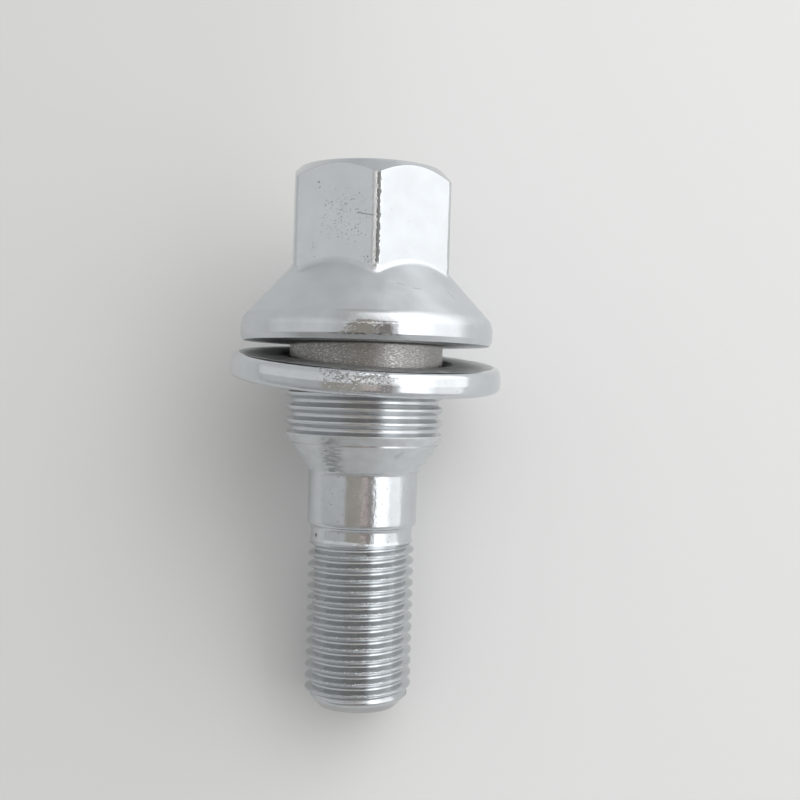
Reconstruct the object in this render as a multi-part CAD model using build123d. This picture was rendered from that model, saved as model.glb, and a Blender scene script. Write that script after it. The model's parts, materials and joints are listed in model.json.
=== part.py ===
from build123d import *
import os
from math import atan, cos, degrees, radians, sin, tan

# Wheel bolt with a captive washer, standing on the end of its hexagon head.
# Millimetres. The origin is the centre of the head's end face, and +Z runs along the shaft to the thread's tip.

# Hexagon head
HEAD_HEIGHT = 19.3  # end face to the underside of the flange
HEX_SIDES = 6
HEX_ACROSS_FLATS = 16.9
HEX_CORNER_SIDE = 270.0  # degrees from +X to one of the corners
HEX_CORNER_ROUND = 0.9  # forged rounding between two flats
HEX_END_INSET = 0.5  # how far the end circle lies inside the flats
HEX_END_ANGLE = 45.0  # degrees between the end chamfer and the axis
HEX_END_ROUND = 0.3
HEX_FOOT_ROUND = 1.0  # hollow rounding where the flats run into the cone

# Cone flange under the hexagon
FLANGE_DIA = 28.1
FLANGE_RIM = 2.45  # underside to where the bare cone would meet the rim
FLANGE_ANGLE = 42.5  # degrees between the cone and the axis
FLANGE_SHOULDER_ROUND = 2.0  # between the cone and the rim
FLANGE_EDGE_HEIGHT = 0.6  # chamfer between the rim and the underside, along the axis
FLANGE_EDGE_INSET = 0.28  # the same chamfer, along the radius
FLANGE_EDGE_ROUND = 0.12  # at both ends of that chamfer
CONE_OVERLAP = 2.0  # how far the cone runs on inside the flats

# Plain neck, on which the washer turns
NECK_DIA = 17.1
NECK_ROOT_ROUND = 0.4

# Rolled rings round the collar, which hold the washer on the neck. The last one runs into the taper
RIDGE_COUNT = 4
RIDGE_PITCH = 1.52
RIDGE_DEPTH = 0.57
RIDGE_CREST = 0.32  # width of a crest's land
RIDGE_FLANK = 0.42  # length of a flank along the axis
RIDGE_ROUND = 0.12
RIDGE_HOLD = 0.09  # how far a crest stands over the washer's bore, on the radius

# Shaft below the collar
TAPER_ANGLE = 33.0  # degrees between the taper and the axis
TAPER_FOOT_ROUND = 0.8
SHANK_DIA = 12.2
SHANK_LENGTH = 5.75
SHANK_END_DROP = 0.4  # length of the slope from the shank to the relief
SHANK_END_ROUND = 0.5
RELIEF_DIA = 11.3
RELIEF_LENGTH = 1.6

# Threaded end, M12 x 1.25, as a cylinder over its crests
THREAD_DIA = 11.85
THREAD_LENGTH = 18.4  # end of the relief to the tip
THREAD_START_DROP = 0.3  # length of the slope up from the relief
TIP_DIA = 8.6
TIP_ANGLE = 43.0  # degrees between the tip's chamfer and the axis
TIP_ROUND = 0.3

# Captive washer
WASHER_DIA = 30.3
WASHER_THICKNESS = 2.65
WASHER_BAND = 1.3  # straight part of the rim, from the face towards the wheel
WASHER_BEVEL = 0.25  # how far the rest of the rim leans in towards the flange
WASHER_BEVEL_ROUND = 0.3  # between the two bands of the rim
WASHER_TOP_ROUND = 0.7  # outer edge that faces the flange
WASHER_SEAT_ROUND = 0.6  # outer edge that faces the wheel
WASHER_BORE_CHAMFER = 0.9
WASHER_FLOAT = 2.67  # free travel along the neck when the washer lies square
WASHER_CLEARANCE = 0.1  # room left to the flange, and to the first ring, when it lies tilted
BORE_CLEARANCE = 0.09  # room left between the tilted bore and the neck, on the radius
WASHER_LOW_SIDE = 254.0  # degrees from +X to the side that has dropped towards the thread

# Sizes that follow from those above
hex_inner = HEX_ACROSS_FLATS / 2
flange_radius = FLANGE_DIA / 2
neck_radius = NECK_DIA / 2
shank_radius = SHANK_DIA / 2
relief_radius = RELIEF_DIA / 2
thread_radius = THREAD_DIA / 2
tip_radius = TIP_DIA / 2
neck_length = WASHER_THICKNESS + WASHER_FLOAT

# The washer leans until its rim nears the flange on one side and its bore nears the first ring on the other
flange_flat_radius = flange_radius - FLANGE_EDGE_INSET
washer_lean = atan((WASHER_FLOAT - 2 * WASHER_CLEARANCE) / (flange_flat_radius + neck_radius))
bore_land = WASHER_THICKNESS - 2 * WASHER_BORE_CHAMFER
bore_radius = (neck_radius + BORE_CLEARANCE + bore_land / 2 * sin(washer_lean)) / cos(washer_lean)
washer_middle = (
    HEAD_HEIGHT + WASHER_CLEARANCE + flange_flat_radius * tan(washer_lean)
    + WASHER_THICKNESS / 2 / cos(washer_lean)
)

crest_radius = bore_radius + RIDGE_HOLD
root_radius = crest_radius - RIDGE_DEPTH


def turned_solid(corners):
    """Solid of revolution about Z from a closed outline of (radius, height, rounding) corners."""
    points = [(radius, height) for radius, height, rounding in corners]
    roundings = [rounding for radius, height, rounding in corners]
    outline = FilletPolyline(*points, radius=roundings, close=True)
    return revolve(Plane.XZ * make_face(outline), axis=Axis.Z)


def ridge_corners(start):
    """Corners of the rolled rings from the given height on, ending at the crest of the last ring."""
    corners = [(neck_radius, start, RIDGE_ROUND)]
    first_rise = RIDGE_FLANK * (crest_radius - neck_radius) / RIDGE_DEPTH
    first_crest = start + first_rise
    for number in range(RIDGE_COUNT):
        crest = first_crest + number * RIDGE_PITCH
        if number > 0:
            corners.append((root_radius, crest - RIDGE_PITCH + RIDGE_CREST + RIDGE_FLANK, RIDGE_ROUND))
            corners.append((root_radius, crest - RIDGE_FLANK, RIDGE_ROUND))
        corners.append((crest_radius, crest, RIDGE_ROUND))
        if number < RIDGE_COUNT - 1:
            corners.append((crest_radius, crest + RIDGE_CREST, RIDGE_ROUND))
    return corners


def shaft():
    """Everything that is round: the cone flange, neck, rings, taper, shank, relief and threaded end."""
    cone_radius = hex_inner - CONE_OVERLAP
    rim_start = HEAD_HEIGHT - FLANGE_RIM
    cone_start = rim_start - (flange_radius - cone_radius) / tan(radians(FLANGE_ANGLE))
    rings = ridge_corners(HEAD_HEIGHT + neck_length)
    taper_start = rings[-1][1]
    taper_end = taper_start + (crest_radius - shank_radius) / tan(radians(TAPER_ANGLE))
    shank_end = taper_end + SHANK_LENGTH
    thread_start = shank_end + SHANK_END_DROP + RELIEF_LENGTH
    tip = thread_start + THREAD_LENGTH
    chamfer_start = tip - (thread_radius - tip_radius) / tan(radians(TIP_ANGLE))
    return turned_solid([
        (0, cone_start, 0),
        (cone_radius, cone_start, 0),
        (flange_radius, rim_start, FLANGE_SHOULDER_ROUND),
        (flange_radius, HEAD_HEIGHT - FLANGE_EDGE_HEIGHT, FLANGE_EDGE_ROUND),
        (flange_radius - FLANGE_EDGE_INSET, HEAD_HEIGHT, FLANGE_EDGE_ROUND),
        (neck_radius, HEAD_HEIGHT, NECK_ROOT_ROUND),
        *rings,
        (shank_radius, taper_end, TAPER_FOOT_ROUND),
        (shank_radius, shank_end, SHANK_END_ROUND),
        (relief_radius, shank_end + SHANK_END_DROP, SHANK_END_ROUND),
        (relief_radius, thread_start, 0),
        (thread_radius, thread_start + THREAD_START_DROP, 0),
        (thread_radius, chamfer_start, 0),
        (tip_radius, tip, TIP_ROUND),
        (0, tip, 0),
    ])


def hexagon():
    """Hexagon bar with rounded corners, chamfered at its end, with one corner towards -Y."""
    flats = RegularPolygon(hex_inner, HEX_SIDES, major_radius=False, rotation=HEX_CORNER_SIDE)
    bar = extrude(fillet(flats.vertices(), HEX_CORNER_ROUND), HEAD_HEIGHT - FLANGE_RIM)
    end_radius = hex_inner - HEX_END_INSET
    spread = HEAD_HEIGHT * tan(radians(HEX_END_ANGLE))
    chamfer = turned_solid([
        (0, 0, 0),
        (end_radius, 0, HEX_END_ROUND),
        (end_radius + spread, HEAD_HEIGHT, 0),
        (0, HEAD_HEIGHT, 0),
    ])
    return bar & chamfer


def bolt():
    """The one-piece bolt, with a hollow rounding where the flats and corners run into the cone."""
    head = hexagon()
    rest = shaft()
    body = head + rest
    foot = new_edges(head, rest, combined=body)
    return fillet(foot, HEX_FOOT_ROUND)


def captive_washer():
    """Loose washer on the neck, leaning so that one side has dropped towards the thread."""
    half = WASHER_THICKNESS / 2
    outer = WASHER_DIA / 2
    ring = turned_solid([
        (bore_radius, -bore_land / 2, 0),
        (bore_radius + WASHER_BORE_CHAMFER, -half, 0),
        (outer - WASHER_BEVEL, -half, WASHER_TOP_ROUND),
        (outer, half - WASHER_BAND, WASHER_BEVEL_ROUND),
        (outer, half, WASHER_SEAT_ROUND),
        (bore_radius + WASHER_BORE_CHAMFER, half, 0),
        (bore_radius, bore_land / 2, 0),
    ])
    low_side = Vector(1, 0, 0).rotate(Axis.Z, WASHER_LOW_SIDE)
    hinge_line = Axis((0, 0, 0), low_side.cross(Vector(0, 0, 1)))
    return Pos(0, 0, washer_middle) * ring.rotate(hinge_line, degrees(washer_lean))


os.makedirs("parts", exist_ok=True)
export_step(bolt(), "parts/bolt.step")
export_step(captive_washer(), "parts/captive_washer.step")
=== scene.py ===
import json
from math import atan, atan2, ceil, cos, pi, radians, sin, tan

import bmesh
import bpy
import numpy as np
from mathutils import Matrix, Vector, noise


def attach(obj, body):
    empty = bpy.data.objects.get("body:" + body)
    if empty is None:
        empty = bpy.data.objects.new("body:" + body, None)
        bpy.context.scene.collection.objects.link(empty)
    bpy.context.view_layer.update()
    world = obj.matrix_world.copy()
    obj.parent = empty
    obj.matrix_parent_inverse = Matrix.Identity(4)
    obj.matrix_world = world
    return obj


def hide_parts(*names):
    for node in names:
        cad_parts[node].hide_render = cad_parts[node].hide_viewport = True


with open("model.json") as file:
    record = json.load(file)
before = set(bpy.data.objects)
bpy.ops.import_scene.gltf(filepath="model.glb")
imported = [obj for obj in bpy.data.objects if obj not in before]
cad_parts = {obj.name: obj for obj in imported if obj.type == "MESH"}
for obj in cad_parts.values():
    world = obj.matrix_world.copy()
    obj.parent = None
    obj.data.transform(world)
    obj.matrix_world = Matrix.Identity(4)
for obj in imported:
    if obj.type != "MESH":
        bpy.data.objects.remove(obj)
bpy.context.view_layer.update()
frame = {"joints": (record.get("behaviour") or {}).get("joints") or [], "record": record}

# Wheel bolt with a captive washer, standing on the end of its hexagon head.
# Sizes are millimetres, as in the solids, and become metres where a mesh or a light is made.
MM = 0.001

# Hexagon head and cone flange
HEAD_HEIGHT = 19.3
HEX_SIDES = 6
HEX_ACROSS_FLATS = 16.9
HEX_CORNER_ROUND = 0.9
HEX_END_INSET = 0.5  # how far the end circle lies inside the flats
HEX_END_ANGLE = radians(45.0)
HEX_END_ROUND = 0.3
HEX_ARC_ROUND = 0.12  # where the end chamfer meets the flats
HEX_FOOT_ROUND = 1.0  # hollow rounding where the flats run into the cone
FLANGE_DIA = 28.1
FLANGE_RIM = 2.45  # underside to where the bare cone would meet the rim
FLANGE_ANGLE = radians(42.5)
FLANGE_SHOULDER_ROUND = 2.0
FLANGE_EDGE_HEIGHT = 0.6
FLANGE_EDGE_INSET = 0.28
FLANGE_EDGE_ROUND = 0.12

# Neck and rolled rings
NECK_DIA = 17.1
NECK_LENGTH = 5.32  # the washer's thickness and its free travel
NECK_ROOT_ROUND = 0.4
RIDGE_COUNT = 4
RIDGE_PITCH = 1.52
RIDGE_CREST_RADIUS = 8.829  # a little over the washer's bore
RIDGE_DEPTH = 0.57
RIDGE_CREST = 0.32
RIDGE_FLANK = 0.42
RIDGE_ROUND = 0.12

# Taper, shank and relief
TAPER_ANGLE = radians(33.0)
LIP_HEIGHT = 0.95  # from the start of the taper
LIP_WIDTH = 0.2
LIP_RISE = 0.15
LIP_ROUND = 0.04
LIP_SIDES = (radians(-40), radians(-22), radians(120), radians(165))  # where it rises, and where it falls
TAPER_FOOT_ROUND = 0.8
SHANK_DIA = 12.2
SHANK_LENGTH = 5.75
SHANK_END_DROP = 0.4
SHANK_END_ROUND = 0.5
RELIEF_DIA = 11.3
RELIEF_LENGTH = 1.6
BEAD_RISE = 0.12
BEAD_LENGTH = 0.26  # of its slow rise
BEAD_DROP = 0.06  # length of its steep end
BEAD_ROUND = 0.04

# Thread, M12 x 1.25, right hand
THREAD_DIA = 11.85
THREAD_DEPTH = 0.72
THREAD_PITCH = 1.25
THREAD_CREST = 0.16
THREAD_FLANK = 0.43
THREAD_CREST_ROUND = 0.06
THREAD_ROOT_ROUND = 0.19
THREAD_LENGTH = 18.4
THREAD_FADE = 0.5  # length over which the thread rises from the relief
THREAD_CREST_HEIGHT = 42.71  # of one crest, at the mesh's first column
TIP_DIA = 8.6
TIP_ANGLE = radians(43.0)
TIP_ROUND = 0.3

# Captive washer
WASHER_DIA = 30.29  # a hair under the solid's, to stay inside its box
WASHER_THICKNESS = 2.65
WASHER_BORE_RADIUS = 8.74
WASHER_BORE_CHAMFER = 0.9
WASHER_CHAMFER_ROUND = 0.15
WASHER_TOP_ROUND = 0.7
WASHER_SEAT_ROUND = 0.6
WASHER_BAND = 1.3
WASHER_BEVEL = 0.25
WASHER_BEVEL_ROUND = 0.3

# Mesh steps, and how close two points count as one
FLAT_STEPS = 22
CORNER_STEPS = 8
WASHER_STEPS = 240
ARC_STEPS = 5
FINE_ARC_STEPS = 3
FINE_ROUND = 0.35  # roundings up to this have the fewer steps
POLE_RADIUS = 0.4  # of the fan of triangles at each end
SAME_PLACE = 0.0004
NORMAL_WEIGHT = 80

# Wear on the hexagon's corners, all of it inwards
WORN_RADIUS = 9.35  # where a corner begins
WORN_DEPTH = 0.025
WORN_CELL = 0.5
WORN_LUMPS = (-0.5, 0.5)

# Camera, fitted to the photograph
IMAGE_PIXELS = 800
FOCAL_PIXELS = 1157
SENSOR_WIDTH = 36.0
CAMERA_DISTANCE = 130.0
CAMERA_SIDE = 3.93
CAMERA_HEIGHT = 23.8
CAMERA_TURN = radians(6.2)
CAMERA_PITCH = radians(0.743)
CAMERA_ROLL = 0.0279
CAMERA_CLIP = 5.0
FRONT_SIDE = Vector((sin(CAMERA_TURN), -cos(CAMERA_TURN), 0))
RIGHT_SIDE = Vector((-cos(CAMERA_TURN), -sin(CAMERA_TURN), 0))

# Sheet that the bolt lies on: where it touches, as distances behind the axis and heights, and its tones,
# darker on the left by a painted shade
SHEET_AT_WASHER = (15.5, 23.0)
SHEET_AT_TIP = (6.1, 58.0)
SHEET_SIZE = 1000.0
# where the painted shade on the left fades out, as distances to the right
SHEET_SHADE_EDGE = (-24.0, 14.0)
SHEET_SHADED_LEFT = (0.675, 0.675, 0.665)
SHEET_LIT_RIGHT = (0.742, 0.742, 0.737)
SHEET_ROUGHNESS = 0.9

# Cards before the bolt, by angles to the right and towards the head, and one beyond its tip, by distances
CARD_DISTANCE = 220.0
CARD_CORNERS = ((9, 22), (-8, 22), (-8, 8), (-34, -8), (-34, -30), (-1, -30), (-1, -5), (9, -3))
CARD_TONE = (0.585, 0.535, 0.475)
ROSY_CORNERS = ((12.5, -3), (9, -3), (-1, -5), (-1, -14), (12.5, -14))
ROSY_TONE = (0.85, 0.715, 0.67)
EDGE_CORNERS = ((24, 15), (10, 15), (10, -3), (12.5, -3), (12.5, -14), (-1, -14), (-1, -30), (24, -30))
EDGE_TONE = (0.4, 0.357, 0.343)
LOW_CARD_DROP = 230.0
LOW_CARD_CORNERS = ((70, -330), (70, 160), (480, 160), (480, -330))
LOW_CARD_TONE = (0.45, 0.445, 0.44)

# Lights, as panels of (first angle, last angle, radiance), in degrees from the camera's side to the right
MIDDLE = 30.0  # height of the bolt's middle
LIGHT_DISTANCE = 450.0
WINDOW_LENGTH = 1000.0
WINDOW_MIDDLE = -340.0
WINDOW_PANELS = ((30, 54, 1.3), (54, 60, 0.75), (60, 80, 0.45), (80, 104, 0.5))
CEILING_PANELS = ((-16, 0, 0.2), (0, 18, 0.45), (18, 60, 0.7), (60, 110, 0.3))
CEILING_RISE = radians(42)
CEILING_LENGTH = 400.0
STRIP_PANELS = ((-20, -8, 0.25), (-8, 4, 0.9), (4, 16, 1.2), (16, 30, 1.4))
STRIP_DISTANCE = 200.0
STRIP_RISE = radians(9.1)
STRIP_LENGTH = 8.0

# Brightness of the surroundings, as (height of a direction, level), and what the right side adds
WORLD_LEVELS = ((-1.0, 0.6), (-0.5, 0.62), (-0.12, 0.77), (0.2, 0.46), (1.0, 0.5))
WORLD_RIGHT_LEVEL = 0.24

# Tones of the metal, dark and light, between which its clouds go
ZINC = ((0.608, 0.633, 0.656), (0.648, 0.675, 0.7))
ROLLED = ((0.565, 0.588, 0.608), (0.6, 0.625, 0.645))
MATT = ((0.625, 0.65, 0.665), (0.69, 0.715, 0.73))
# the neck's tones hold a painted shade, for where it lies between the flange and the washer
NECK_STEEL_AND_SHADE = ((0.325, 0.317, 0.307), (0.385, 0.377, 0.363))
FACE_STEEL = ((0.47, 0.478, 0.47), (0.62, 0.63, 0.62))

# Tones of worn places and of what lies in the pits. Some are painted light as well: the groove's dark tone
# is also a painted dark reflection, the rubbed ridge's light tone also a painted highlight, and the tip's
# tone a painted shade
PIT_TONE = (0.2, 0.195, 0.19)
WASHER_PIT_TONE = (0.35, 0.345, 0.335)
# groove tone: wear, darkened further as a painted dark reflection, so it stays dark whatever the corner
# mirrors
GROOVE_WEAR_AND_SHADE_TONE = (0.135, 0.135, 0.133)
WORN_EDGE_TONE = (0.54, 0.54, 0.525)
# rubbed bare metal, lightened further as a painted highlight on the ridge
RUBBED_AND_HIGHLIGHT_TONE = (0.86, 0.865, 0.86)
STRUCK_TONE = (0.5, 0.515, 0.525)
NECK_FLECK_TONE = (0.4, 0.395, 0.385)
RING_FLANK_TONE = (0.53, 0.549, 0.563)
BLOTCH_TONE = (0.4, 0.42, 0.43)
THREAD_FLANK_TONE = (0.56, 0.582, 0.595)
# painted shade on the tip's chamfer, for the shadowed sheet that it mirrors
TIP_SHADE_TONE = (0.46, 0.465, 0.465)

# Marks on the plating: a centre and its reach, or the two ends of a line and its width
SPECKS = ((3.26, -7.88, 6.21), 4.6)
SCRATCH = ((2.02, -8.59, 5.87), (0.4, -9.5, 6.22), 0.06)
NICK_CENTRES = (
    (1.11, -9.12, 11.08),
    (-5.48, -7.04, 10.9),
    (7.78, -5.27, 10.9),
    (6.37, -6.08, 9.28),
    (5.91, -6.35, 3.04),
)
NICK_REACH = 1.0
HAIRLINE_ENDS = (
    ((-2.16, -10.54, 13.27), (-2.89, -10.54, 13.45)),
    ((-3.84, -10.5, 13.72), (-4.61, -10.24, 13.78)),
    ((-7.77, -7.99, 13.69), (-8.62, -8.23, 14.53)),
)
HAIRLINE_WIDTH = 0.08
HAIRLINE_STRENGTH = 0.6
RIM_PATCH_CENTRE = (1.3, -13.9, 18.0)
RIM_PATCH_REACH = 4.5
RIM_MIRROR_REACH = 9.0
TAPER_BLOTCH = ((4.1, -7.0, 30.5), (3.6, -5.3, 33.3), 1.9)
TAPER_SMUDGE = ((-3.0, -6.9, 31.3), (-3.5, -6.9, 30.9), 0.6)
SMUDGE_STRENGTH = 0.7
SHANK_SCUFF = ((-0.3, -6.1, 34.4), (-0.3, -6.1, 39.6), 2.4)
RELIEF_PIT = ((5.18, -2.26, 40.57), 0.35)
WASHER_PITS = ((2.23, -14.89, 23.03), 6.0)
FULL_SHARE = 0.35  # share of its reach where a mark is full
STREAK_SHARE = 0.4  # share of the streaks in the neck's tone
PIT_SOFTNESS = 0.16  # between the edge and the floor of a pit on the washer
CREST_SCUFF_DEPTH = 0.15
# depth below the thread's root over which the tip's painted shade comes in
TIP_SHADE_FADE = 0.3

# Worn lines by the hexagon's corners, the groove also a painted dark reflection and the ridge also a painted
# highlight: distance from the corner, half width, and half width at full tone
WORN_AND_SHADED_GROOVE = (0.12, 0.24, 0.15)
WORN_EDGE = (-0.5, 0.12, 0.04)
# the lighter ridge: partly rubbed metal, partly a painted highlight
RUBBED_RIDGE_AND_HIGHLIGHT = (-0.19, 0.17, 0.08)
WORN_LINE_WAVER = 0.07

# Heights where a mark starts, is full, starts to fade and ends. The scuff's are from the flange's chamfer
WORN_LINE_HEIGHTS = (1.4, 1.8, 11.0, 11.5)
EDGE_SCUFF_HEIGHTS = (-0.08, 0.02, 0.08, 0.2)

# Heights where the finish changes, from the end of the cone, and from the edge between the washer's bands
SHOULDER_FADE = (-0.5, 0.8)
WASHER_BAND_FADE = (0.15, -0.1)

# Shares of the way between root and crest, where a flank starts, is full, starts to fade and ends
FLANK_SHARES = (0.05, 0.3, 0.7, 0.95)

# Radii and heights that follow from the sizes
hex_inner = HEX_ACROSS_FLATS / 2
flange_radius = FLANGE_DIA / 2
neck_radius = NECK_DIA / 2
shank_radius = SHANK_DIA / 2
relief_radius = RELIEF_DIA / 2
thread_radius = THREAD_DIA / 2
tip_radius = TIP_DIA / 2
ridge_root_radius = RIDGE_CREST_RADIUS - RIDGE_DEPTH
cone_end = HEAD_HEIGHT - FLANGE_RIM
neck_end = HEAD_HEIGHT + NECK_LENGTH
first_crest = neck_end + RIDGE_FLANK * (RIDGE_CREST_RADIUS - neck_radius) / RIDGE_DEPTH
taper_start = first_crest + (RIDGE_COUNT - 1) * RIDGE_PITCH
taper_end = taper_start + (RIDGE_CREST_RADIUS - shank_radius) / tan(TAPER_ANGLE)
shank_end = taper_end + SHANK_LENGTH
relief_start = shank_end + SHANK_END_DROP
thread_start = relief_start + RELIEF_LENGTH
tip_height = thread_start + THREAD_LENGTH

# The washer's place and lean, from the frame
washer_spin = next(joint for joint in frame["joints"] if joint["name"] == "washer_spin")
washer_seat = next(mount for mount in frame["record"]["mounts"] if mount["name"] == "washer_seat")
washer_centre = Vector(washer_spin["pos_m"])
washer_axis = Vector(washer_seat["axis"])

# Finishes along the bolt, as the order of its material slots
HEAD, CONE, RIM, NECK, RINGS, TAPER, SHANK, THREAD = range(8)

# Finishes of the washer, in the same way
WASHER_FACE, WASHER_RIM = range(2)


def smooth(value, low, high):
    """0 below low, 1 above high, and an even curve between."""
    share = np.clip((value - low) / (high - low), 0, 1)
    return share * share * (3 - 2 * share)


def unit(vectors):
    return vectors / np.linalg.norm(vectors, axis=-1, keepdims=True)


def arc_steps(rounding):
    """Mesh steps round an arc: fewer for a fine one, and none for a sharp corner."""
    if rounding == 0:
        return 0
    return ARC_STEPS if rounding > FINE_ROUND else FINE_ARC_STEPS


def rounded_outline(corners):
    """Rows of (radius, height) along an outline, with the finish of the strip after each row.

    A corner is (radius, height, rounding, steps to the next corner, finish from here on). Radius and height
    may be arrays, with one value for each column of the mesh.
    """
    columns = np.broadcast_arrays(*[value for corner in corners for value in corner[:2]])
    points = [np.stack(pair, axis=-1).astype(float) for pair in zip(columns[0::2], columns[1::2])]
    starts = [points[0]]
    ends = [points[0]]
    arcs = [[]]
    for before, here, after, corner in zip(points, points[1:], points[2:], corners[1:]):
        inward = unit(here - before)
        outward = unit(after - here)
        turn = np.arctan2(
            inward[..., 0] * outward[..., 1] - inward[..., 1] * outward[..., 0],
            (inward * outward).sum(axis=-1),
        )[..., None]
        rounding = corner[2]
        reach = rounding * np.tan(np.abs(turn) / 2)
        across = np.sign(turn) * np.stack([-inward[..., 1], inward[..., 0]], axis=-1)
        starts.append(here - inward * reach)
        ends.append(here + outward * reach)
        steps = arc_steps(rounding)
        angles = [np.abs(turn) * step / steps for step in range(1, steps)]
        arcs.append([
            starts[-1] + rounding * (np.sin(angle) * inward + (1 - np.cos(angle)) * across)
            for angle in angles
        ])
    starts.append(points[-1])
    rows = []
    finishes = []
    for index, corner in enumerate(corners[:-1]):
        finish = corner[4]
        if arcs[index]:
            rows += [starts[index], *arcs[index]]
            finishes += [finish] * (1 + len(arcs[index]))
        steps = corner[3]
        for step in range(steps):
            share = (1 - cos(pi * step / steps)) / 2
            rows.append(ends[index] + (starts[index + 1] - ends[index]) * share)
            finishes.append(finish)
    rows.append(points[-1])
    return np.array(rows), finishes


def flat_half_angle():
    """Half the angle that a flat takes up, seen from the axis, between its rounded corners."""
    return atan((hex_inner - HEX_CORNER_ROUND) * tan(pi / HEX_SIDES) / hex_inner)


def hexagon_columns():
    """Angles of the mesh's columns: even across each flat, and closer round each corner."""
    half_sector = pi / HEX_SIDES
    flat_half = flat_half_angle()
    half_corner = np.linspace(-half_sector, -flat_half, CORNER_STEPS // 2 + 1)
    flat = np.linspace(-flat_half, flat_half, FLAT_STEPS + 1)
    sector = np.concatenate([half_corner[:-1], flat[:-1], -half_corner[:0:-1]])
    return np.concatenate([sector + side * 2 * half_sector for side in range(HEX_SIDES)])


def hexagon_radius(angles):
    """Distance from the axis to the hexagon with rounded corners."""
    half_sector = pi / HEX_SIDES
    from_flat = np.abs(np.mod(angles + half_sector, 2 * half_sector) - half_sector)
    corner_middle = (hex_inner - HEX_CORNER_ROUND) / cos(half_sector)
    from_corner = half_sector - from_flat
    aside = np.minimum(corner_middle * np.sin(from_corner), HEX_CORNER_ROUND)
    rounded = corner_middle * np.cos(from_corner) + np.sqrt(HEX_CORNER_ROUND ** 2 - aside ** 2)
    return np.where(from_flat < flat_half_angle(), hex_inner / np.cos(from_flat), rounded)


def ridge_corners():
    """The rolled rings, from the end of the neck to the crest of the last ring."""
    corners = [(neck_radius, neck_end, RIDGE_ROUND, 1, RINGS)]
    for number in range(RIDGE_COUNT - 1):
        crest = first_crest + number * RIDGE_PITCH
        corners.append((RIDGE_CREST_RADIUS, crest, RIDGE_ROUND, 1, RINGS))
        corners.append((RIDGE_CREST_RADIUS, crest + RIDGE_CREST, RIDGE_ROUND, 1, RINGS))
        corners.append((ridge_root_radius, crest + RIDGE_CREST + RIDGE_FLANK, RIDGE_ROUND, 1, RINGS))
        corners.append((ridge_root_radius, crest + RIDGE_PITCH - RIDGE_FLANK, RIDGE_ROUND, 1, RINGS))
    corners.append((RIDGE_CREST_RADIUS, taper_start, RIDGE_ROUND, 4, TAPER))
    return corners


def lip_corners(angles):
    """The thin lip that the rolling pushed up on part of the taper, from the front round to the right."""
    front = atan2(FRONT_SIDE.y, FRONT_SIDE.x)
    aside = np.mod(front - angles + pi, 2 * pi) - pi
    rise_from, rise_to, fall_from, fall_to = LIP_SIDES
    share = smooth(aside, rise_from, rise_to) * (1 - smooth(aside, fall_from, fall_to))
    start = taper_start + LIP_HEIGHT
    on_taper = RIDGE_CREST_RADIUS - LIP_HEIGHT * tan(TAPER_ANGLE)
    fall = LIP_WIDTH * tan(TAPER_ANGLE)
    return [
        (on_taper + LIP_RISE * share, start, LIP_ROUND, 1, RINGS),
        (on_taper - fall + (LIP_RISE + fall) * share, start + LIP_WIDTH, LIP_ROUND, 8, TAPER),
    ]


def upper_corners(angles):
    """The outline from the middle of the head's end to the end of the relief, for each column."""
    hexagon = hexagon_radius(angles)
    end_radius = hex_inner - HEX_END_INSET
    arc_height = (hexagon - end_radius) / tan(HEX_END_ANGLE)
    foot_height = cone_end - (flange_radius - hexagon) / tan(FLANGE_ANGLE)
    bead_end = thread_start - BEAD_DROP
    return [
        (POLE_RADIUS, 0, 0, 5, HEAD),
        (end_radius, 0, HEX_END_ROUND, 3, HEAD),
        (hexagon, arc_height, HEX_ARC_ROUND, 44, HEAD),
        (hexagon, foot_height, HEX_FOOT_ROUND, 14, CONE),
        (flange_radius, cone_end, FLANGE_SHOULDER_ROUND, 4, RIM),
        (flange_radius, HEAD_HEIGHT - FLANGE_EDGE_HEIGHT, FLANGE_EDGE_ROUND, 2, RIM),
        (flange_radius - FLANGE_EDGE_INSET, HEAD_HEIGHT, FLANGE_EDGE_ROUND, 5, CONE),
        (neck_radius, HEAD_HEIGHT, NECK_ROOT_ROUND, 6, NECK),
        *ridge_corners(),
        *lip_corners(angles),
        (shank_radius, taper_end, TAPER_FOOT_ROUND, 8, SHANK),
        (shank_radius, shank_end, SHANK_END_ROUND, 1, SHANK),
        (relief_radius, relief_start, SHANK_END_ROUND, 4, SHANK),
        (relief_radius, bead_end - BEAD_LENGTH, 0, 1, SHANK),
        (relief_radius + BEAD_RISE, bead_end, BEAD_ROUND, 1, SHANK),
        (relief_radius, thread_start, 0, 0, SHANK),
    ]


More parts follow.
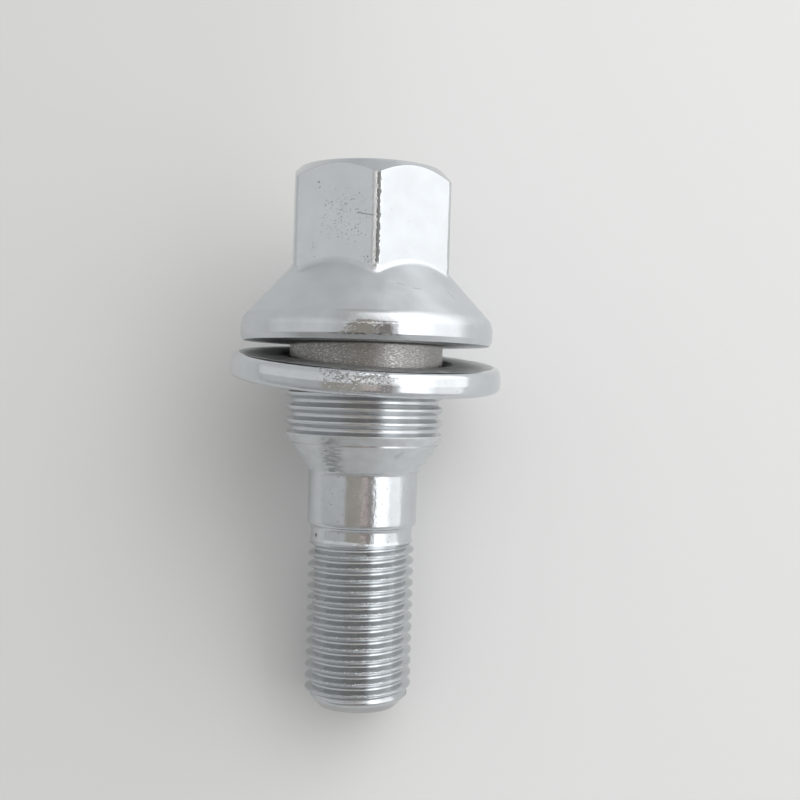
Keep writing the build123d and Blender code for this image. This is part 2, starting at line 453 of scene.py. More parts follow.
def thread_rows(angles):
    """Rows that climb with the thread, and how many of them make one turn."""
    root_flat = THREAD_PITCH - THREAD_CREST - 2 * THREAD_FLANK
    root = thread_radius - THREAD_DEPTH
    first = THREAD_CREST / 2
    turn, _ = rounded_outline([
        (thread_radius, 0, 0, 1, THREAD),
        (thread_radius, first, THREAD_CREST_ROUND, 1, THREAD),
        (root, first + THREAD_FLANK, THREAD_ROOT_ROUND, 1, THREAD),
        (root, first + THREAD_FLANK + root_flat, THREAD_ROOT_ROUND, 1, THREAD),
        (thread_radius, THREAD_PITCH - first, THREAD_CREST_ROUND, 1, THREAD),
        (thread_radius, THREAD_PITCH, 0, 0, THREAD),
    ])
    turn = turn[:-1]
    stop = tip_height - TIP_ROUND
    turns_before = ceil((THREAD_CREST_HEIGHT - thread_start) / THREAD_PITCH) + 1
    lowest = THREAD_CREST_HEIGHT - turns_before * THREAD_PITCH
    count = ceil((stop - lowest) / THREAD_PITCH) + 1
    climb = THREAD_PITCH * (angles - angles[0]) / (2 * pi)
    rows = []
    for number in range(count):
        for radius, height in turn:
            place = np.clip(lowest + number * THREAD_PITCH + height + climb, thread_start, stop)
            formed = smooth(place, thread_start, thread_start + THREAD_FADE)
            chamfer = tip_radius + (tip_height - place) * tan(TIP_ANGLE)
            rolled = relief_radius + (radius - relief_radius) * formed
            rows.append(np.stack([np.minimum(rolled, chamfer), place], axis=-1))
    return np.array(rows), len(turn)


def tip_corners():
    """The end of the chamfer and the flat tip."""
    stop = tip_height - TIP_ROUND
    return [
        (tip_radius + TIP_ROUND * tan(TIP_ANGLE), stop, 0, 1, THREAD),
        (tip_radius, tip_height, TIP_ROUND, 5, THREAD),
        (POLE_RADIUS, tip_height, 0, 0, THREAD),
    ]


def ring_points(rows, angles):
    """Points in space of rows of (radius, height), column by column."""
    radius = rows[..., 0]
    height = rows[..., 1]
    return np.stack([radius * np.cos(angles), radius * np.sin(angles), height], axis=-1)


def worn_corners(rows, angles, finishes):
    """The rows, with the hexagon's corners pressed in unevenly."""
    last = max(row for row, finish in enumerate(finishes) if finish == HEAD)
    head = rows[:last]
    points = ring_points(head, angles).reshape(-1, 3) / WORN_CELL
    lumps = np.array([noise.noise(Vector(point)) for point in points]).reshape(head.shape[:-1])
    corner = smooth(head[..., 0], WORN_RADIUS, WORN_RADIUS + WORN_DEPTH)
    rows[:last, ..., 0] -= WORN_DEPTH * smooth(lumps, *WORN_LUMPS) * corner
    return rows


class Grid:
    """Points and faces of a mesh, gathered strip by strip."""

    def __init__(self, columns):
        self.columns = columns
        self.points = []
        self.faces = []
        self.finishes = []

    def add_rows(self, points):
        """Adds rows of points and gives the index of the first."""
        first = len(self.points)
        self.points.extend(points.reshape(-1, 3))
        return first

    def strip(self, first, row, finish, shift=0):
        """Faces between a row and the next. The last column meets the first one, shift rows further on."""
        for column in range(self.columns):
            last = column == self.columns - 1
            start = first + row * self.columns
            here = start + column
            across = start + (shift * self.columns if last else column + 1)
            self.faces.append((here, across, across + self.columns, here + self.columns))
            self.finishes.append(finish)

    def fan(self, first, middle, finish, upward):
        """Closes a row with triangles round a middle point."""
        index = len(self.points)
        self.points.append(np.array(middle, float))
        for column in range(self.columns):
            edge = (first + column, first + (column + 1) % self.columns)
            self.faces.append((*edge, index) if upward else (*edge[::-1], index))
            self.finishes.append(finish)

    def piece(self, name, materials):
        """A smooth mesh object in metres, with doubled points joined."""
        data = bpy.data.meshes.new(name)
        data.from_pydata([tuple(point * MM) for point in self.points], [], self.faces)
        data.polygons.foreach_set("material_index", self.finishes)
        for material in materials:
            data.materials.append(material)
        join_doubles(data)
        data.polygons.foreach_set("use_smooth", [True] * len(data.polygons))
        made = bpy.data.objects.new(name, data)
        bpy.context.scene.collection.objects.link(made)
        made.modifiers.new("even_shading", "WEIGHTED_NORMAL").weight = NORMAL_WEIGHT
        return made


def join_doubles(data):
    """Joins points that lie in one place and drops the faces that this leaves empty."""
    work = bmesh.new()
    work.from_mesh(data)
    bmesh.ops.remove_doubles(work, verts=work.verts, dist=SAME_PLACE * MM)
    bmesh.ops.dissolve_degenerate(work, edges=work.edges, dist=SAME_PLACE * MM)
    work.to_mesh(data)
    work.free()
    data.update()


def bolt_piece(materials):
    """The bolt in three stretches: the head to the relief, the thread, and the tip."""
    angles = hexagon_columns()
    grid = Grid(len(angles))
    upper, finishes = rounded_outline(upper_corners(angles))
    first = grid.add_rows(ring_points(worn_corners(upper, angles, finishes), angles))
    for row, finish in enumerate(finishes):
        grid.strip(first, row, finish)
    grid.fan(first, (0, 0, 0), HEAD, upward=False)

    thread, turn_rows = thread_rows(angles)
    first = grid.add_rows(ring_points(thread, angles))
    for row in range(len(thread) - 1 - turn_rows):
        grid.strip(first, row, THREAD, shift=turn_rows)

    tip, finishes = rounded_outline(tip_corners())
    tip = np.repeat(tip[:, None, :], len(angles), axis=1)
    first = grid.add_rows(ring_points(tip, angles))
    for row, finish in enumerate(finishes):
        grid.strip(first, row, finish)
    grid.fan(first + (len(tip) - 1) * len(angles), (0, 0, tip_height), THREAD, upward=True)
    return grid.piece("bolt_steel_body", materials)


def washer_piece(materials):
    """The washer, turned about its own axis and then leaned and placed as the solid is."""
    half = WASHER_THICKNESS / 2
    land = half - WASHER_BORE_CHAMFER
    outer = WASHER_DIA / 2
    bore = WASHER_BORE_RADIUS
    mouth = bore + WASHER_BORE_CHAMFER
    rows, finishes = rounded_outline([
        (bore, -land, 0, 3, WASHER_FACE),
        (bore, land, 0, 3, WASHER_FACE),
        (mouth, half, WASHER_CHAMFER_ROUND, 8, WASHER_FACE),
        (outer - WASHER_SEAT_ROUND, half, 0, 1, WASHER_RIM),
        (outer, half, WASHER_SEAT_ROUND, 3, WASHER_RIM),
        (outer, half - WASHER_BAND, WASHER_BEVEL_ROUND, 3, WASHER_RIM),
        (outer - WASHER_BEVEL, -half, WASHER_TOP_ROUND, 1, WASHER_RIM),
        (outer - WASHER_BEVEL - WASHER_TOP_ROUND, -half, 0, 8, WASHER_FACE),
        (mouth, -half, WASHER_CHAMFER_ROUND, 3, WASHER_FACE),
        (bore, -land, 0, 0, WASHER_FACE),
    ])
    angles = np.linspace(0, 2 * pi, WASHER_STEPS, endpoint=False)
    rows = np.repeat(rows[:, None, :], len(angles), axis=1)
    grid = Grid(len(angles))
    first = grid.add_rows(ring_points(rows, angles))
    for row, finish in enumerate(finishes):
        grid.strip(first, row, finish)
    # This outline runs the other way, so its faces are turned over
    grid.faces = [face[::-1] for face in grid.faces]
    piece = grid.piece("washer_steel_ring", materials)
    lean = Vector((0, 0, 1)).rotation_difference(washer_axis).to_matrix().to_4x4()
    piece.data.transform(Matrix.Translation(washer_centre) @ lean)
    return piece


class Surface:
    """A material under construction, metal at first. Its coordinates are the object's, in millimetres."""

    def __init__(self, name):
        self.material = bpy.data.materials.new(name)
        self.material.use_nodes = True
        self.tree = self.material.node_tree
        self.shader = self.tree.nodes["Principled BSDF"]
        self.shader.inputs["Metallic"].default_value = 1.0
        scaled = self.node("ShaderNodeVectorMath", operation="SCALE")
        scaled.inputs["Scale"].default_value = 1 / MM
        self.join(self.node("ShaderNodeTexCoord").outputs["Object"], scaled.inputs[0])
        self.place = scaled.outputs["Vector"]

    def node(self, kind, **settings):
        made = self.tree.nodes.new(kind)
        for name, value in settings.items():
            setattr(made, name, value)
        return made

    def join(self, source, target):
        self.tree.links.new(source, target)

    def put(self, value, socket):
        """Links a node's output, or sets a plain value."""
        if isinstance(value, bpy.types.NodeSocket):
            self.join(value, socket)
        else:
            socket.default_value = value

    def noise(self, across, along=None, detail=3.0):
        """Noise in cells of a given size round the bolt and along it."""
        mapping = self.node("ShaderNodeMapping")
        self.join(self.place, mapping.inputs["Vector"])
        mapping.inputs["Scale"].default_value = (1 / across, 1 / across, 1 / (along or across))
        texture = self.node("ShaderNodeTexNoise")
        self.join(mapping.outputs["Vector"], texture.inputs["Vector"])
        texture.inputs["Scale"].default_value = 1.0
        texture.inputs["Detail"].default_value = detail
        return texture.outputs["Fac"]

    def fit(self, value, low, high, to_low=0.0, to_high=1.0, curve="SMOOTHSTEP"):
        """Maps a value from one range to another, without leaving the second."""
        mapped = self.node("ShaderNodeMapRange", interpolation_type=curve)
        self.put(value, mapped.inputs["Value"])
        for name, amount in (("From Min", low), ("From Max", high), ("To Min", to_low), ("To Max", to_high)):
            self.put(amount, mapped.inputs[name])
        return mapped.outputs["Result"]

    def maths(self, operation, *values):
        """Joins values by one operation, from the first to the last."""
        result = values[0]
        for value in values[1:]:
            made = self.node("ShaderNodeMath", operation=operation)
            self.put(result, made.inputs[0])
            self.put(value, made.inputs[1])
            result = made.outputs["Value"]
        return result

    def product(self, *values):
        return self.maths("MULTIPLY", *values)

    def total(self, *values):
        return self.maths("ADD", *values)

    def largest(self, *values):
        return self.maths("MAXIMUM", *values)

    def between(self, value, start, full, ending, end):
        """1 from full to ending, falling to 0 at the start and at the end."""
        return self.product(self.fit(value, start, full), self.fit(value, end, ending))

    def vector(self, operation, first, second, result="Vector"):
        made = self.node("ShaderNodeVectorMath", operation=operation)
        self.put(first, made.inputs[0])
        self.put(second, made.inputs[1])
        return made.outputs[result]

    def near(self, centre, reach):
        """1 about a point, falling to 0 at a given distance from it."""
        return self.fit(self.vector("DISTANCE", self.place, centre, "Value"), reach, FULL_SHARE * reach)

    def line(self, start, end, width):
        """1 on a straight line between two points, falling to 0 beside it."""
        along = Vector(end) - Vector(start)
        offset = self.vector("SUBTRACT", self.place, start)
        share = self.vector("DOT_PRODUCT", offset, along / along.length_squared, "Value")
        nearest = self.node("ShaderNodeVectorMath", operation="SCALE")
        nearest.inputs[0].default_value = along
        self.join(self.fit(share, 0.0, 1.0, curve="LINEAR"), nearest.inputs["Scale"])
        return self.fit(self.vector("DISTANCE", offset, nearest.outputs["Vector"], "Value"), width, 0.0)

    def from_axis(self):
        """Distance from the bolt's axis."""
        flat = self.vector("MULTIPLY", self.place, (1, 1, 0))
        return self.vector("LENGTH", flat, (0, 0, 0), "Value")

    def along(self, direction):
        """Distance from the origin along a direction."""
        return self.vector("DOT_PRODUCT", self.place, direction, "Value")

    def height(self):
        """Height along the bolt."""
        return self.along((0, 0, 1))

    def angle(self):
        """Angle about the bolt's axis."""
        return self.maths("ARCTAN2", self.along((0, 1, 0)), self.along((1, 0, 0)))

    def halfway(self, inner, outer):
        """1 halfway between two distances from the axis, falling to 0 at both."""
        share = self.fit(self.from_axis(), inner, outer, curve="LINEAR")
        return self.between(share, *FLANK_SHARES)

    def clouded(self, clouds, dark, light, low=0.25, high=0.75):
        """Colour between dark and light that follows the clouds."""
        return self.blend(self.fit(clouds, low, high), dark, light)

    def roughness(self, clouds, least, most, low=0.3, high=0.7):
        """Roughness between least and most that follows the clouds."""
        return self.fit(clouds, low, high, least, most)

    def rougher(self, rough, marks, by):
        """Roughness that is higher by a given amount where the marks are."""
        return self.total(rough, self.product(marks, by))

    def blend(self, share, first, second):
        """A colour that goes from the first to the second as the share goes from 0 to 1."""
        mixed = self.node("ShaderNodeMix", data_type="RGBA")
        self.put(share, mixed.inputs["Factor"])
        for colour, name in ((first, "A"), (second, "B")):
            linked = isinstance(colour, bpy.types.NodeSocket)
            self.put(colour if linked else (*colour, 1), self.colour_socket(mixed, name))
        return mixed.outputs[2]

    @staticmethod
    def colour_socket(mixed, name):
        return next(socket for socket in mixed.inputs if socket.name == name and socket.type == "RGBA")

    def bump(self, height, rise, before=None):
        """A bump that rises by the given amount, or sinks where it is negative, on top of an earlier one."""
        made = self.node("ShaderNodeBump")
        made.inputs["Strength"].default_value = 1.0
        made.inputs["Distance"].default_value = rise * MM
        self.join(height, made.inputs["Height"])
        if before is not None:
            self.join(before, made.inputs["Normal"])
        return made.outputs["Normal"]

    def finish(self, colour, roughness, normal):
        self.put(colour, self.shader.inputs["Base Color"])
        self.put(roughness, self.shader.inputs["Roughness"])
        self.join(normal, self.shader.inputs["Normal"])
        return self.material


def worn_line(skin, beside, outer, inner):
    """Up to 1 on a ragged line beside each corner of the hexagon, most of all beside the front one."""
    corner = hex_inner / cos(pi / HEX_SIDES)
    turned = skin.maths("SUBTRACT", skin.angle(), pi / HEX_SIDES - beside / corner)
    aside = skin.product(skin.maths("PINGPONG", turned, pi / HEX_SIDES), corner)
    ragged = skin.noise(across=0.25, along=0.45)
    waver = skin.fit(ragged, low=0.35, high=0.65, to_low=-WORN_LINE_WAVER, to_high=WORN_LINE_WAVER)
    line = skin.fit(skin.total(aside, waver), outer, inner)
    inside = skin.between(skin.height(), *WORN_LINE_HEIGHTS)
    front = skin.along((0, -1, 0))
    facing = skin.fit(front, low=0.6 * corner, high=0.9 * corner, to_low=0.1, to_high=0.9)
    return skin.product(line, inside, facing)


def head_finish():
    """Bright zinc over forged flats, with specks, a scratch, nicks, and worn lines along the corners: a
    groove that is wear darkened further by a painted dark reflection, and a ridge lightened partly by a
    painted highlight.
    """
    skin = Surface("head_zinc")
    clouds = skin.noise(across=2.4, detail=4)
    spots = skin.largest(skin.near(*SPECKS), *[skin.near(centre, NICK_REACH) for centre in NICK_CENTRES])
    threshold = skin.fit(spots, low=0, high=1, to_low=0.74, to_high=0.59)
    specks = skin.fit(skin.noise(across=0.2, detail=2), low=threshold, high=0.78)
    marks = skin.largest(specks, skin.line(*SCRATCH))
    groove_and_shade = worn_line(skin, *WORN_AND_SHADED_GROOVE)
    rough = skin.rougher(skin.roughness(clouds, least=0.18, most=0.22), marks, by=0.2)
    rough = skin.rougher(rough, groove_and_shade, by=0.35)
    tone = skin.blend(worn_line(skin, *WORN_EDGE), skin.clouded(clouds, *ZINC), WORN_EDGE_TONE)
    # painted highlight along the rubbed ridge, besides the rubbed metal's own tone
    tone = skin.blend(worn_line(skin, *RUBBED_RIDGE_AND_HIGHLIGHT), tone, RUBBED_AND_HIGHLIGHT_TONE)
    tone = skin.blend(marks, tone, PIT_TONE)
    # painted dark reflection on top of the worn groove
    tone = skin.blend(groove_and_shade, tone, GROOVE_WEAR_AND_SHADE_TONE)
    normal = skin.bump(skin.noise(across=0.9, detail=2), rise=0.003)
    normal = skin.bump(marks, rise=-0.02, before=normal)
    normal = skin.bump(groove_and_shade, rise=-0.035, before=normal)
    return skin.finish(tone, rough, normal)


def cone_finish():
    """Satin zinc, with a fine grain and a few hairlines."""
    skin = Surface("cone_zinc")
    clouds = skin.noise(across=2.2, detail=4)
    hairlines = skin.largest(*[skin.line(*ends, HAIRLINE_WIDTH) for ends in HAIRLINE_ENDS])
    rough = skin.roughness(clouds, least=0.32, most=0.4)
    tone = skin.blend(skin.product(hairlines, HAIRLINE_STRENGTH), skin.clouded(clouds, *ZINC), PIT_TONE)
    normal = skin.bump(skin.noise(across=0.35, detail=3), rise=0.005)
    return skin.finish(tone, rough, normal)


def rim_finish():
    """Zinc that goes from satin on the shoulder to a mirror, uneven and scuffed where it was struck."""
    skin = Surface("rim_zinc")
    clouds = skin.noise(across=1.5, detail=4)
    start, end = (cone_end + height for height in SHOULDER_FADE)
    satin = skin.fit(skin.height(), start, end, to_low=0.3, to_high=0.1)
    mirror = skin.near(RIM_PATCH_CENTRE, RIM_MIRROR_REACH)
    rough = skin.total(satin, skin.fit(mirror, low=0, high=1, to_low=0.13, to_high=0.0))
    struck = skin.near(RIM_PATCH_CENTRE, RIM_PATCH_REACH)
    chamfer = HEAD_HEIGHT - FLANGE_EDGE_HEIGHT
    edge = skin.between(skin.height(), *[chamfer + height for height in EDGE_SCUFF_HEIGHTS])
    ragged = skin.fit(skin.noise(across=0.5, along=0.3), low=0.44, high=0.54)
    scuff = skin.product(edge, ragged, struck)
    tone = skin.blend(struck, skin.clouded(clouds, *ZINC), STRUCK_TONE)
    tone = skin.blend(scuff, tone, PIT_TONE)
    lumps = skin.product(skin.noise(across=0.7, detail=3), struck)
    normal = skin.bump(skin.noise(across=2.4, detail=2), rise=0.012)
    normal = skin.bump(lumps, rise=0.03, before=normal)
    return skin.finish(tone, rough, normal)


def neck_finish():
    """Bare turned steel, dull, and dark partly by a painted shade between the flange and the washer, with
    fine turning marks and brighter flecks.
    """
    skin = Surface("neck_steel")
    streaks = skin.noise(across=0.7, along=0.1, detail=4)
    patches = skin.noise(across=0.35, along=0.25, detail=3)
    mixed = skin.total(skin.product(streaks, STREAK_SHARE), skin.product(patches, 1 - STREAK_SHARE))
    flecks = skin.fit(skin.noise(across=0.3, along=0.07, detail=4), low=0.46, high=0.62)
    rough = skin.fit(flecks, low=0, high=1, to_low=0.5, to_high=0.26)
    # tone darkened partly as a painted shade between flange and washer
    tone = skin.blend(flecks, skin.clouded(mixed, *NECK_STEEL_AND_SHADE, low=0.36, high=0.66), NECK_FLECK_TONE)
    normal = skin.bump(patches, rise=0.015)
    normal = skin.bump(skin.noise(across=0.15, detail=2), rise=0.008, before=normal)
    return skin.finish(tone, rough, normal)


def rings_finish():
    """Bright zinc on rolled rings, duller on their flanks."""
    skin = Surface("ring_zinc")
    clouds = skin.noise(across=1.4, along=0.4, detail=4)
    flank = skin.halfway(ridge_root_radius, RIDGE_CREST_RADIUS)
    rough = skin.roughness(clouds, least=0.2, most=0.27)
    tone = skin.blend(flank, skin.clouded(clouds, *ROLLED), RING_FLANK_TONE)
    normal = skin.bump(skin.noise(across=0.5, along=0.3, detail=3), rise=0.005)
    return skin.finish(tone, rough, normal)


def taper_finish():
    """Matt zinc with faint tool marks, and on the front a dark blotch of short strokes and a smudge."""
    skin = Surface("taper_zinc")
    clouds = skin.noise(across=1.2, along=0.7, detail=4)
    strokes = skin.noise(across=0.8, along=0.24, detail=3)
    uneven = skin.fit(strokes, low=0.3, high=0.7, to_low=0.2, to_high=1.8)
    blotch = skin.product(skin.line(*TAPER_BLOTCH), uneven)
    dark = skin.largest(blotch, skin.product(skin.line(*TAPER_SMUDGE), SMUDGE_STRENGTH))
    rough = skin.rougher(skin.roughness(clouds, least=0.4, most=0.48), dark, by=0.08)
    tone = skin.blend(dark, skin.clouded(clouds, *MATT, low=0.3, high=0.7), BLOTCH_TONE)
    normal = skin.bump(strokes, rise=0.004)
    normal = skin.bump(skin.noise(across=0.25, detail=3), rise=0.004, before=normal)
    return skin.finish(tone, rough, normal)


def shank_finish():
    """Zinc that is almost a mirror, with faint waves, a ragged scuff along the front and a few pits."""
    skin = Surface("shank_zinc")
    clouds = skin.noise(across=1.5, detail=4)
    scattered = skin.fit(skin.noise(across=0.2, detail=2), low=0.69, high=0.74)
    pits = skin.largest(scattered, skin.near(*RELIEF_PIT))
    rough = skin.rougher(skin.roughness(clouds, least=0.12, most=0.18), pits, by=0.2)
    tone = skin.blend(pits, skin.clouded(clouds, *ZINC), PIT_TONE)
    scuff = skin.fit(skin.line(*SHANK_SCUFF), low=0.0, high=0.5, to_low=0.25, to_high=1.0)
    ragged = skin.product(skin.noise(across=0.35, along=0.4, detail=3), scuff)
    normal = skin.bump(skin.noise(across=0.9, along=1.8, detail=2), rise=0.02)
    normal = skin.bump(ragged, rise=0.028, before=normal)
    normal = skin.bump(pits, rise=-0.03, before=normal)
    return skin.finish(tone, rough, normal)


def thread_finish():
    """Bright zinc on a rolled thread, scuffed on the crests, duller on the flanks, and darker on the tip by
    a painted shade, the shadowed sheet that the chamfer mirrors.
    """
    skin = Surface("thread_zinc")
    clouds = skin.noise(across=1.2, along=0.6, detail=4)
    root = thread_radius - THREAD_DEPTH
    radius = skin.from_axis()
    scuffs = skin.fit(skin.noise(across=0.22, along=0.12, detail=2), low=0.52, high=0.64)
    crest = skin.product(scuffs, skin.fit(radius, thread_radius - CREST_SCUFF_DEPTH, thread_radius))
    rough = skin.rougher(skin.roughness(clouds, least=0.16, most=0.22), crest, by=0.1)
    tone = skin.blend(skin.halfway(root, thread_radius), skin.clouded(clouds, *ROLLED), THREAD_FLANK_TONE)
    # painted shade: the chamfer and tip below the root are darkened
    tone = skin.blend(skin.fit(radius, root, root - TIP_SHADE_FADE), tone, TIP_SHADE_TONE)
    normal = skin.bump(skin.noise(across=0.4, along=0.2, detail=3), rise=0.005)
    normal = skin.bump(crest, rise=-0.03, before=normal)
    return skin.finish(tone, rough, normal)


def washer_face_finish():
    """Dull steel, dark and rough."""
    skin = Surface("washer_face_steel")
    clouds = skin.noise(across=1.3, detail=4)
    rough = skin.roughness(clouds, least=0.45, most=0.6, low=0.35, high=0.7)
    tone = skin.clouded(clouds, *FACE_STEEL, low=0.3, high=0.72)
    normal = skin.bump(skin.noise(across=0.2, detail=3), rise=0.01)
    return skin.finish(tone, rough, normal)


def washer_rim_finish():
    """Bright zinc, pitted in the middle of the front, most of all on the band that faces the flange."""
    skin = Surface("washer_rim_zinc")
    clouds = skin.noise(across=1.5, along=0.8, detail=4)
    edge = washer_centre.dot(washer_axis) / MM + WASHER_THICKNESS / 2 - WASHER_BAND
    start, end = (edge + height for height in WASHER_BAND_FADE)
    upper = skin.fit(skin.along(washer_axis), start, end, to_low=0.55, to_high=1.0)
    pitted = skin.product(skin.near(*WASHER_PITS), upper)
    threshold = skin.fit(pitted, low=0, high=1, to_low=0.7, to_high=0.49)
    grain = skin.noise(across=0.32, along=0.15, detail=3)
    pits = skin.fit(grain, threshold, skin.total(threshold, PIT_SOFTNESS))
    rough = skin.rougher(skin.roughness(clouds, least=0.1, most=0.16), pits, by=0.15)
    tone = skin.blend(pits, skin.clouded(clouds, *ZINC), WASHER_PIT_TONE)
    normal = skin.bump(skin.noise(across=0.6, along=0.4, detail=3), rise=0.004)
    normal = skin.bump(pits, rise=-0.06, before=normal)
    return skin.finish(tone, rough, normal)


def pale_sheet():
    """Pale foam sheet, darker on the left by a painted shade, a broad penumbra along the bolt. Its back is
    clear, so that it hides nothing from behind.
    """
    skin = Surface("pale_sheet")
    skin.shader.inputs["Metallic"].default_value = 0.0
    # painted shade: the sheet's tone darkens to the left of the bolt
    tone = skin.blend(skin.fit(skin.along(RIGHT_SIDE), *SHEET_SHADE_EDGE), SHEET_SHADED_LEFT, SHEET_LIT_RIGHT)
    skin.put(tone, skin.shader.inputs["Base Color"])
    skin.shader.inputs["Roughness"].default_value = SHEET_ROUGHNESS
    sides = skin.node("ShaderNodeMixShader")
    skin.join(skin.node("ShaderNodeNewGeometry").outputs["Backfacing"], sides.inputs["Fac"])
    skin.join(skin.shader.outputs["BSDF"], sides.inputs[1])
    skin.join(skin.node("ShaderNodeBsdfTransparent").outputs["BSDF"], sides.inputs[2])
    skin.join(sides.outputs["Shader"], skin.tree.nodes["Material Output"].inputs["Surface"])
    return skin.material


def matt_card(name, tone):
    material = bpy.data.materials.new(name)
    material.use_nodes = True
    shader = material.node_tree.nodes["Principled BSDF"]
    shader.inputs["Base Color"].default_value = (*tone, 1)
    shader.inputs["Roughness"].default_value = 1.0
    return material


def add_camera():
    """Camera at the photograph's place: level with the neck, and rolled so that the head is at the top."""
    down = Vector((0, 0, 1))
    eye = FRONT_SIDE * CAMERA_DISTANCE + RIGHT_SIDE * CAMERA_SIDE + down * CAMERA_HEIGHT
    back = FRONT_SIDE * cos(CAMERA_PITCH) - down * sin(CAMERA_PITCH)
    low = down * cos(CAMERA_PITCH) + FRONT_SIDE * sin(CAMERA_PITCH)
    image_right = RIGHT_SIDE * cos(CAMERA_ROLL) - low * sin(CAMERA_ROLL)
    image_up = -(RIGHT_SIDE * sin(CAMERA_ROLL) + low * cos(CAMERA_ROLL))
    data = bpy.data.cameras.new("camera")
    data.sensor_width = SENSOR_WIDTH
    data.lens = SENSOR_WIDTH * FOCAL_PIXELS / IMAGE_PIXELS
    data.clip_start = CAMERA_CLIP * MM
    camera = bpy.data.objects.new("camera", data)
    turned = Matrix((image_right, image_up, back)).transposed().to_4x4()
    camera.matrix_world = Matrix.Translation(eye * MM) @ turned
    bpy.context.scene.collection.objects.link(camera)
    bpy.context.scene.camera = camera


def toward(angle, distance, height):
    """Point at an angle from the camera's side of the bolt, towards the right of the picture."""
    side = RIGHT_SIDE * sin(angle) + FRONT_SIDE * cos(angle)
    return side * distance + Vector((0, 0, height))


def add_panel_light(name, angles, radiance, length, place, target):
    """Soft panel of a given radiance, as wide as two angles tell, at a place and turned to a target."""
    data = bpy.data.lights.new(name, "AREA")
    data.shape = "RECTANGLE"
    data.size = 2 * (target - place).length * tan(radians(angles[1] - angles[0]) / 2) * MM
    data.size_y = length * MM
    data.energy = radiance * pi * data.size * data.size_y
    light = bpy.data.objects.new(name, data)
    turn = (target - place).to_track_quat("-Z", "Y")
    light.matrix_world = Matrix.Translation(place * MM) @ turn.to_matrix().to_4x4()
    bpy.context.scene.collection.objects.link(light)


def add_light_row(name, panels, length, distance, height, aim):
    """Row of panels at one height, all turned to another height on the axis."""
    for start, end, radiance in panels:
        place = toward(radians(start + end) / 2, distance, height)
        add_panel_light(name, (start, end), radiance, length, place, Vector((0, 0, aim)))


def add_lights():
    """A window on the right, the ceiling beyond the head, and a narrow strip that the washer mirrors."""
    add_light_row("window", WINDOW_PANELS, WINDOW_LENGTH, LIGHT_DISTANCE, WINDOW_MIDDLE, WINDOW_MIDDLE)
    ceiling = MIDDLE - LIGHT_DISTANCE * sin(CEILING_RISE)
    ahead = LIGHT_DISTANCE * cos(CEILING_RISE)
    add_light_row("ceiling", CEILING_PANELS, CEILING_LENGTH, ahead, ceiling, MIDDLE)
    strip = CAMERA_HEIGHT - STRIP_DISTANCE * tan(STRIP_RISE)
    add_light_row("strip", STRIP_PANELS, STRIP_LENGTH, STRIP_DISTANCE, strip, CAMERA_HEIGHT)


def add_stage_panel(name, corners, material):
    """Flat panel of the stage."""
    data = bpy.data.meshes.new(name)
    data.from_pydata([corner * MM for corner in corners], [], [range(len(corners))])
    data.materials.append(material)
    made = bpy.data.objects.new(name, data)
    bpy.context.scene.collection.objects.link(made)
    return made


def add_sheet():
    """The pale sheet that the bolt lies on, touched by the back of the washer and by the edge of the tip."""
    at_washer, at_tip = (height * Vector((0, 0, 1)) - behind * FRONT_SIDE
                         for behind, height in (SHEET_AT_WASHER, SHEET_AT_TIP))
    along = (at_tip - at_washer).normalized() * SHEET_SIZE / 2
    across = RIGHT_SIDE * SHEET_SIZE / 2
    corners = [at_washer - along - across, at_washer + along - across,
               at_washer + along + across, at_washer - along + across]
    add_stage_panel("sheet", corners, pale_sheet())


def add_card(name, places, tone):
    """Dull card, which only the plating mirrors."""
    card = add_stage_panel(name, places, matt_card(name, tone))
    card.visible_camera = False
    card.visible_diffuse = False
    card.visible_shadow = False


def before_bolt(corners):
    """Places on a plane before the bolt, from angles to the right and towards the head, in degrees."""
    return [
        FRONT_SIDE * CARD_DISTANCE
        + RIGHT_SIDE * CARD_DISTANCE * tan(radians(aside))
        + Vector((0, 0, CAMERA_HEIGHT - CARD_DISTANCE * tan(radians(headward))))
        for aside, headward in corners
    ]


def beyond_tip(corners):
    """Places on a plane beyond the tip, from distances to the front and to the right."""
    drop = Vector((0, 0, CAMERA_HEIGHT + LOW_CARD_DROP))
    return [FRONT_SIDE * front + RIGHT_SIDE * aside + drop for front, aside in corners]


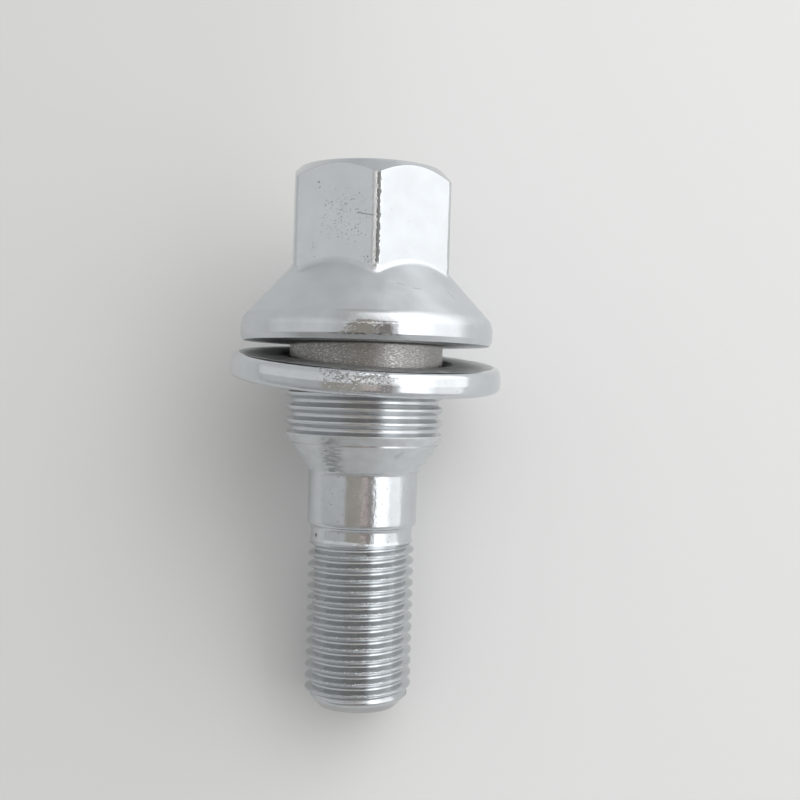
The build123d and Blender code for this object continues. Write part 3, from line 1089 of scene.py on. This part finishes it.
def set_world():
    """Even surroundings, lighter towards the head than towards the tip, and lighter on the right."""
    world = bpy.data.worlds.new("studio")
    bpy.context.scene.world = world
    world.use_nodes = True
    tree = world.node_tree
    direction = tree.nodes.new("ShaderNodeTexCoord").outputs["Generated"]

    def along(axis, start, top):
        """Rises from 0, where a direction's share of the axis is at the start, to the top, where it is 1."""
        product = tree.nodes.new("ShaderNodeVectorMath")
        product.operation = "DOT_PRODUCT"
        product.inputs[1].default_value = axis
        tree.links.new(direction, product.inputs[0])
        share = tree.nodes.new("ShaderNodeMapRange")
        share.inputs["From Min"].default_value = start
        share.inputs["To Max"].default_value = top
        tree.links.new(product.outputs["Value"], share.inputs["Value"])
        return share.outputs["Result"]

    ramp = tree.nodes.new("ShaderNodeValToRGB")
    stops = ramp.color_ramp.elements
    while len(stops) < len(WORLD_LEVELS):
        stops.new(0)
    for stop, (height, level) in zip(stops, WORLD_LEVELS):
        stop.position = (height + 1) / 2
        stop.color = (level, level, level, 1)
    tree.links.new(along((0, 0, 1), -1, 1), ramp.inputs["Fac"])
    total = tree.nodes.new("ShaderNodeMath")
    tree.links.new(ramp.outputs["Color"], total.inputs[0])
    tree.links.new(along(RIGHT_SIDE, 0, WORLD_RIGHT_LEVEL), total.inputs[1])
    tree.links.new(total.outputs["Value"], tree.nodes["Background"].inputs["Strength"])
    tree.nodes["Background"].inputs["Color"].default_value = (1, 1, 1, 1)


add_camera()
bolt = bolt_piece([
    head_finish(), cone_finish(), rim_finish(), neck_finish(),
    rings_finish(), taper_finish(), shank_finish(), thread_finish(),
])
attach(bolt, "bolt")
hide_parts("bolt")
washer = washer_piece([washer_face_finish(), washer_rim_finish()])
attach(washer, "washer")
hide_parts("captive_washer")

add_sheet()
add_card("card", before_bolt(CARD_CORNERS), CARD_TONE)
add_card("rosy_card", before_bolt(ROSY_CORNERS), ROSY_TONE)
add_card("card_edge", before_bolt(EDGE_CORNERS), EDGE_TONE)
add_card("low_card", beyond_tip(LOW_CARD_CORNERS), LOW_CARD_TONE)
add_lights()
set_world()

bpy.context.scene.view_settings.view_transform = "Standard"
